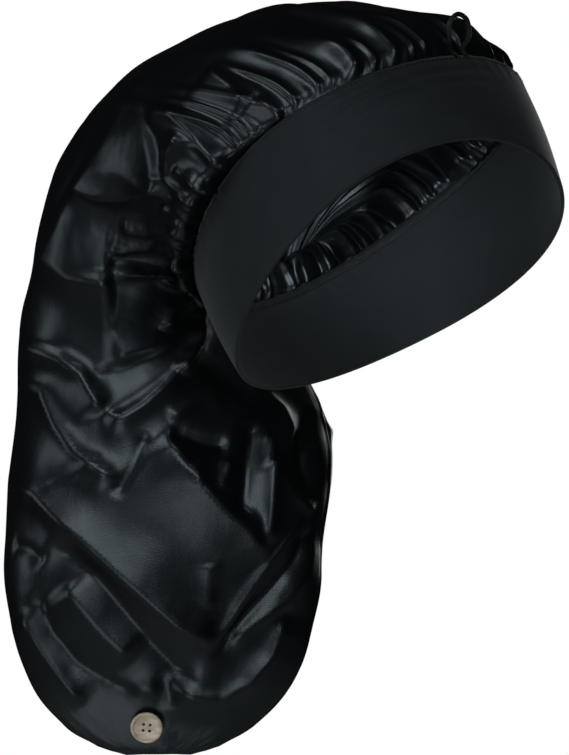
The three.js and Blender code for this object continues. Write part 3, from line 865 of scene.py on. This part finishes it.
# %% Knit
knit, tree, shader = new_material("charcoal_knit")
set_inputs(shader, {
    "Roughness": 0.62,
    "Specular IOR Level": 0.3,
    "Specular Tint": cool_gloss,
    "Sheen Weight": 0.15,
    "Sheen Roughness": 0.5,
    "Sheen Tint": (0.6, 0.68, 0.72, 1),
})
cloth = node(tree, "ShaderNodeUVMap", uv_map="cloth")
rib_map = node(tree, "ShaderNodeMapping", Scale=(1900, 1300, 1))
ribs = node(tree, "ShaderNodeTexVoronoi", Scale=1.0, feature="SMOOTH_F1")
mottle = node(tree, "ShaderNodeTexNoise", Scale=45.0, Detail=4.0, Roughness=0.6)
tone = two_tones(tree, (0.0085, 0.0098, 0.0110), (0.0125, 0.0145, 0.0160), start=0.3, end=0.7)
bump_mottle = node(tree, "ShaderNodeBump", Strength=0.3, Distance=0.0012)
bump_ribs = node(tree, "ShaderNodeBump", Strength=0.45, Distance=0.00025)
join(
    tree,
    (cloth.outputs["UV"], rib_map.inputs["Vector"]),
    (cloth.outputs["UV"], mottle.inputs["Vector"]),
    (rib_map.outputs["Vector"], ribs.inputs["Vector"]),
    (mottle.outputs["Fac"], tone.inputs["Fac"]),
    (tone.outputs["Color"], shader.inputs["Base Color"]),
    (mottle.outputs["Fac"], bump_mottle.inputs["Height"]),
    (ribs.outputs["Distance"], bump_ribs.inputs["Height"]),
    (bump_mottle.outputs["Normal"], bump_ribs.inputs["Normal"]),
    (bump_ribs.outputs["Normal"], shader.inputs["Normal"]),
)
head_band.data.materials.append(knit)

# %% [markdown]
# The small things come last: braided elastic, polished horn with streaks, and twisted thread.

# %% Elastic
elastic, tree, shader = new_material("braided_elastic")
set_inputs(shader, {"Base Color": (0.006, 0.007, 0.008, 1), "Roughness": 0.5})
cloth = node(tree, "ShaderNodeUVMap", uv_map="cloth")
braid = node(tree, "ShaderNodeTexWave", Scale=900.0, Distortion=1.5)
bump = node(tree, "ShaderNodeBump", Strength=0.5, Distance=0.0002)
join(
    tree,
    (cloth.outputs["UV"], braid.inputs["Vector"]),
    (braid.outputs["Fac"], bump.inputs["Height"]),
    (bump.outputs["Normal"], shader.inputs["Normal"]),
)
button_loop.data.materials.append(elastic)

# %% Horn
horn, tree, shader = new_material("polished_horn")
set_inputs(shader, {"Roughness": 0.3, "Coat Weight": 0.3, "Coat Roughness": 0.15})
place = node(tree, "ShaderNodeTexCoord")
streak_map = node(tree, "ShaderNodeMapping", Scale=(160, 90, 420))
streaks = node(tree, "ShaderNodeTexNoise", Scale=1.0, Detail=5.0, Roughness=0.6, Distortion=0.6)
tone = two_tones(tree, (0.50, 0.41, 0.29), (0.78, 0.70, 0.56), start=0.35, end=0.6)
join(
    tree,
    (place.outputs["Object"], streak_map.inputs["Vector"]),
    (streak_map.outputs["Vector"], streaks.inputs["Vector"]),
    (streaks.outputs["Fac"], tone.inputs["Fac"]),
    (tone.outputs["Color"], shader.inputs["Base Color"]),
)

# %% Thread
thread, tree, shader = new_material("black_thread")
set_inputs(shader, {"Base Color": (0.008, 0.008, 0.009, 1), "Roughness": 0.6})
place = node(tree, "ShaderNodeTexCoord")
twist = node(tree, "ShaderNodeTexWave", Scale=1200.0)
bump = node(tree, "ShaderNodeBump", Strength=0.4, Distance=0.0001)
join(
    tree,
    (place.outputs["Object"], twist.inputs["Vector"]),
    (twist.outputs["Fac"], bump.inputs["Height"]),
    (bump.outputs["Normal"], shader.inputs["Normal"]),
)

# %% Floor finish
plaster, tree, shader = new_material("pale_floor")
set_inputs(shader, {"Roughness": 0.8})
place = node(tree, "ShaderNodeTexCoord")
speckle = node(tree, "ShaderNodeTexNoise", Scale=8.0, Detail=4.0)
tone = two_tones(tree, (0.76, 0.76, 0.75), (0.82, 0.82, 0.81))
join(
    tree,
    (place.outputs["Object"], speckle.inputs["Vector"]),
    (speckle.outputs["Fac"], tone.inputs["Fac"]),
    (tone.outputs["Color"], shader.inputs["Base Color"]),
)
floor.data.materials.append(plaster)

# %% [markdown]
# The seam is overlocked by machine: a row of short stitches shows on the band beside the gathers,
# and slanting ones wrap the raw edge inside. Hundreds of equal stitches along one line are work for
# Geometry Nodes. The tree walks the line in equal steps, and puts a stitch on each step, turned with
# the line and with the cloth under it.

# %% Tree for a row of stitches
stitch_tree = bpy.data.node_groups.new("row_of_stitches", "GeometryNodeTree")
sockets = stitch_tree.interface
sockets.new_socket("Line", in_out="INPUT", socket_type="NodeSocketGeometry")
for title in ("Pitch", "Length", "Thickness", "Slant", "Wobble"):
    sockets.new_socket(title, in_out="INPUT", socket_type="NodeSocketFloat")
sockets.new_socket("Seed", in_out="INPUT", socket_type="NodeSocketInt")
sockets.new_socket("Thread", in_out="INPUT", socket_type="NodeSocketMaterial")
sockets.new_socket("Stitches", in_out="OUTPUT", socket_type="NodeSocketGeometry")
given = node(stitch_tree, "NodeGroupInput").outputs
curve = node(stitch_tree, "GeometryNodeMeshToCurve")
equal_steps = node(stitch_tree, "GeometryNodeResampleCurve", mode="LENGTH")
along_line = node(stitch_tree, "GeometryNodeInputTangent")
off_cloth = node(stitch_tree, "GeometryNodeInputNamedAttribute", data_type="FLOAT_VECTOR", Name="outward")
with_line = node(stitch_tree, "FunctionNodeAlignRotationToVector", axis="X")
with_cloth = node(stitch_tree, "FunctionNodeAlignRotationToVector", axis="Z", pivot_axis="X")
wobble = node(stitch_tree, "FunctionNodeRandomValue", data_type="FLOAT")
least = node(stitch_tree, "ShaderNodeMath", operation="SUBTRACT")
most = node(stitch_tree, "ShaderNodeMath", operation="ADD")
slant = node(stitch_tree, "ShaderNodeCombineXYZ")
slant_turn = node(stitch_tree, "FunctionNodeEulerToRotation")
slanted = node(stitch_tree, "FunctionNodeRotateRotation", rotation_space="LOCAL")
stitch = node(stitch_tree, "GeometryNodeMeshUVSphere", Segments=6, Rings=5, Radius=0.5)
stitch_size = node(stitch_tree, "ShaderNodeCombineXYZ")
stitches = node(stitch_tree, "GeometryNodeInstanceOnPoints")
whole = node(stitch_tree, "GeometryNodeRealizeInstances")
dyed = node(stitch_tree, "GeometryNodeSetMaterial")
result = node(stitch_tree, "NodeGroupOutput")
print("tree nodes:", len(stitch_tree.nodes))

# %% [markdown]
# The links say what happens in order: walk the line, find each stitch's direction, slant it a little
# at random, give it its size, place it, and make the row one plain mesh in its own thread.

# %% Links of the tree
join(
    stitch_tree,
    (given["Line"], curve.inputs["Mesh"]),
    (curve.outputs["Curve"], equal_steps.inputs["Curve"]),
    (given["Pitch"], equal_steps.inputs["Length"]),
    (along_line.outputs["Tangent"], with_line.inputs["Vector"]),
    (with_line.outputs["Rotation"], with_cloth.inputs["Rotation"]),
    (off_cloth.outputs["Attribute"], with_cloth.inputs["Vector"]),
    (given["Slant"], least.inputs[0]),
    (given["Wobble"], least.inputs[1]),
    (given["Slant"], most.inputs[0]),
    (given["Wobble"], most.inputs[1]),
    (least.outputs["Value"], wobble.inputs["Min"]),
    (most.outputs["Value"], wobble.inputs["Max"]),
    (given["Seed"], wobble.inputs["Seed"]),
    (wobble.outputs["Value"], slant.inputs["Z"]),
    (slant.outputs["Vector"], slant_turn.inputs["Euler"]),
    (with_cloth.outputs["Rotation"], slanted.inputs["Rotation"]),
    (slant_turn.outputs["Rotation"], slanted.inputs["Rotate By"]),
    (given["Length"], stitch_size.inputs["X"]),
    (given["Thickness"], stitch_size.inputs["Y"]),
    (given["Thickness"], stitch_size.inputs["Z"]),
    (equal_steps.outputs["Curve"], stitches.inputs["Points"]),
    (stitch.outputs["Mesh"], stitches.inputs["Instance"]),
    (slanted.outputs["Rotation"], stitches.inputs["Rotation"]),
    (stitch_size.outputs["Vector"], stitches.inputs["Scale"]),
    (stitches.outputs["Instances"], whole.inputs["Geometry"]),
    (whole.outputs["Geometry"], dyed.inputs["Geometry"]),
    (given["Thread"], dyed.inputs["Material"]),
    (dyed.outputs["Geometry"], result.inputs["Stitches"]),
)
print("tree links:", len(stitch_tree.links))

# %% [markdown]
# A row needs its line and, at every point of it, the direction off the cloth. The finished row is
# turned into a plain mesh, so nothing of the tree is left on it.

# %% Rows along the seam
def stitch_row(name, line_points, off, **sizes):
    count = len(line_points)
    line_mesh = bpy.data.meshes.new(name + "_line")
    line_mesh.from_pydata((line_points * MM).tolist(), [(i, (i + 1) % count) for i in range(count)], [])
    line_mesh.attributes.new("outward", "FLOAT_VECTOR", "POINT").data.foreach_set("vector", off.reshape(-1))
    line = bpy.data.objects.new(name + "_line", line_mesh)
    bpy.context.scene.collection.objects.link(line)
    modifier = line.modifiers.new("stitches", "NODES")
    modifier.node_group = stitch_tree
    for socket in sockets.items_tree:
        if socket.name in sizes:
            modifier[socket.identifier] = sizes[socket.name]
    mesh = bpy.data.meshes.new_from_object(line.evaluated_get(bpy.context.evaluated_depsgraph_get()))
    bpy.data.objects.remove(line)
    mesh.name = name
    mesh.polygons.foreach_set("use_smooth", [True] * len(mesh.polygons))
    row = bpy.data.objects.new(name, mesh)
    bpy.context.scene.collection.objects.link(row)
    print(name, len(mesh.polygons), "faces")
    return row


def band_surface(share, stand):
    """Points on the band's outer face, or the inner one if stand is below 0, and directions off it."""
    shares = np.full(band_columns, share)
    side_of_band = np.sign(stand)
    wave = band_waves(band_angles, shares) * (1 if stand > 0 else inner_echo)
    place = band_point(band_angles, shares, side_of_band * fold_radius + wave + stand)
    off = band_point(band_angles, shares, wave + 10) - band_point(band_angles, shares, wave)
    return place, unit(off) * side_of_band


outer_line, outer_off = band_surface(0.962, 0.12)
seam_stitches = stitch_row(
    "seam_stitches", outer_line, outer_off,
    Pitch=0.0030, Length=0.0023, Thickness=0.00055, Slant=0.12, Wobble=0.08, Seed=4, Thread=thread,
)
allowance_low, allowance_high = 0.945, 1.02
allowance_gap, allowance_wall = 0.15, 0.6
allowance_corners = [
    (allowance_low, -allowance_gap),
    (allowance_high, -allowance_gap),
    (allowance_high, -allowance_gap - allowance_wall),
    (allowance_low, -allowance_gap - allowance_wall),
]
allowance_rings = [band_surface(share, stand)[0] for share, stand in allowance_corners]
seam_allowance = ring_stack("seam_allowance", allowance_rings, around_again=True)
seam_allowance.data.materials.append(knit)
overlock_rows = []
for number, (share, slope) in enumerate(((0.965, 1.1), (1.0, 0.15))):
    inner_line, inner_off = band_surface(share, -0.2 - allowance_wall)
    overlock_rows.append(stitch_row(
        "overlock_" + "ab"[number], inner_line, inner_off,
        Pitch=0.0029, Length=0.0030 if number == 0 else 0.0022, Thickness=0.00038, Slant=slope,
        Wobble=0.12, Seed=10 + number, Thread=thread,
    ))

# %% Give the solids that stay their finish
finishes = {"button": horn, "button_thread": thread}
for name, material in finishes.items():
    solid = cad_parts[name]
    for slot in solid.material_slots:
        slot.material = material

# %% [markdown]
# Each dressed piece now takes the place of its solid.

# %% Hand the pieces over
stands_for = [
    (satin_bag, "satin_bag", "satin"),
    (head_band, "head_band", "stretch_knit"),
    (button_loop, "button_loop", "elastic"),
]
for piece, solid, finish in stands_for:
    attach(piece, "root")
    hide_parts(solid)
for piece in [seam_stitches, *overlock_rows]:
    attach(piece, "root")
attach(seam_allowance, "root")
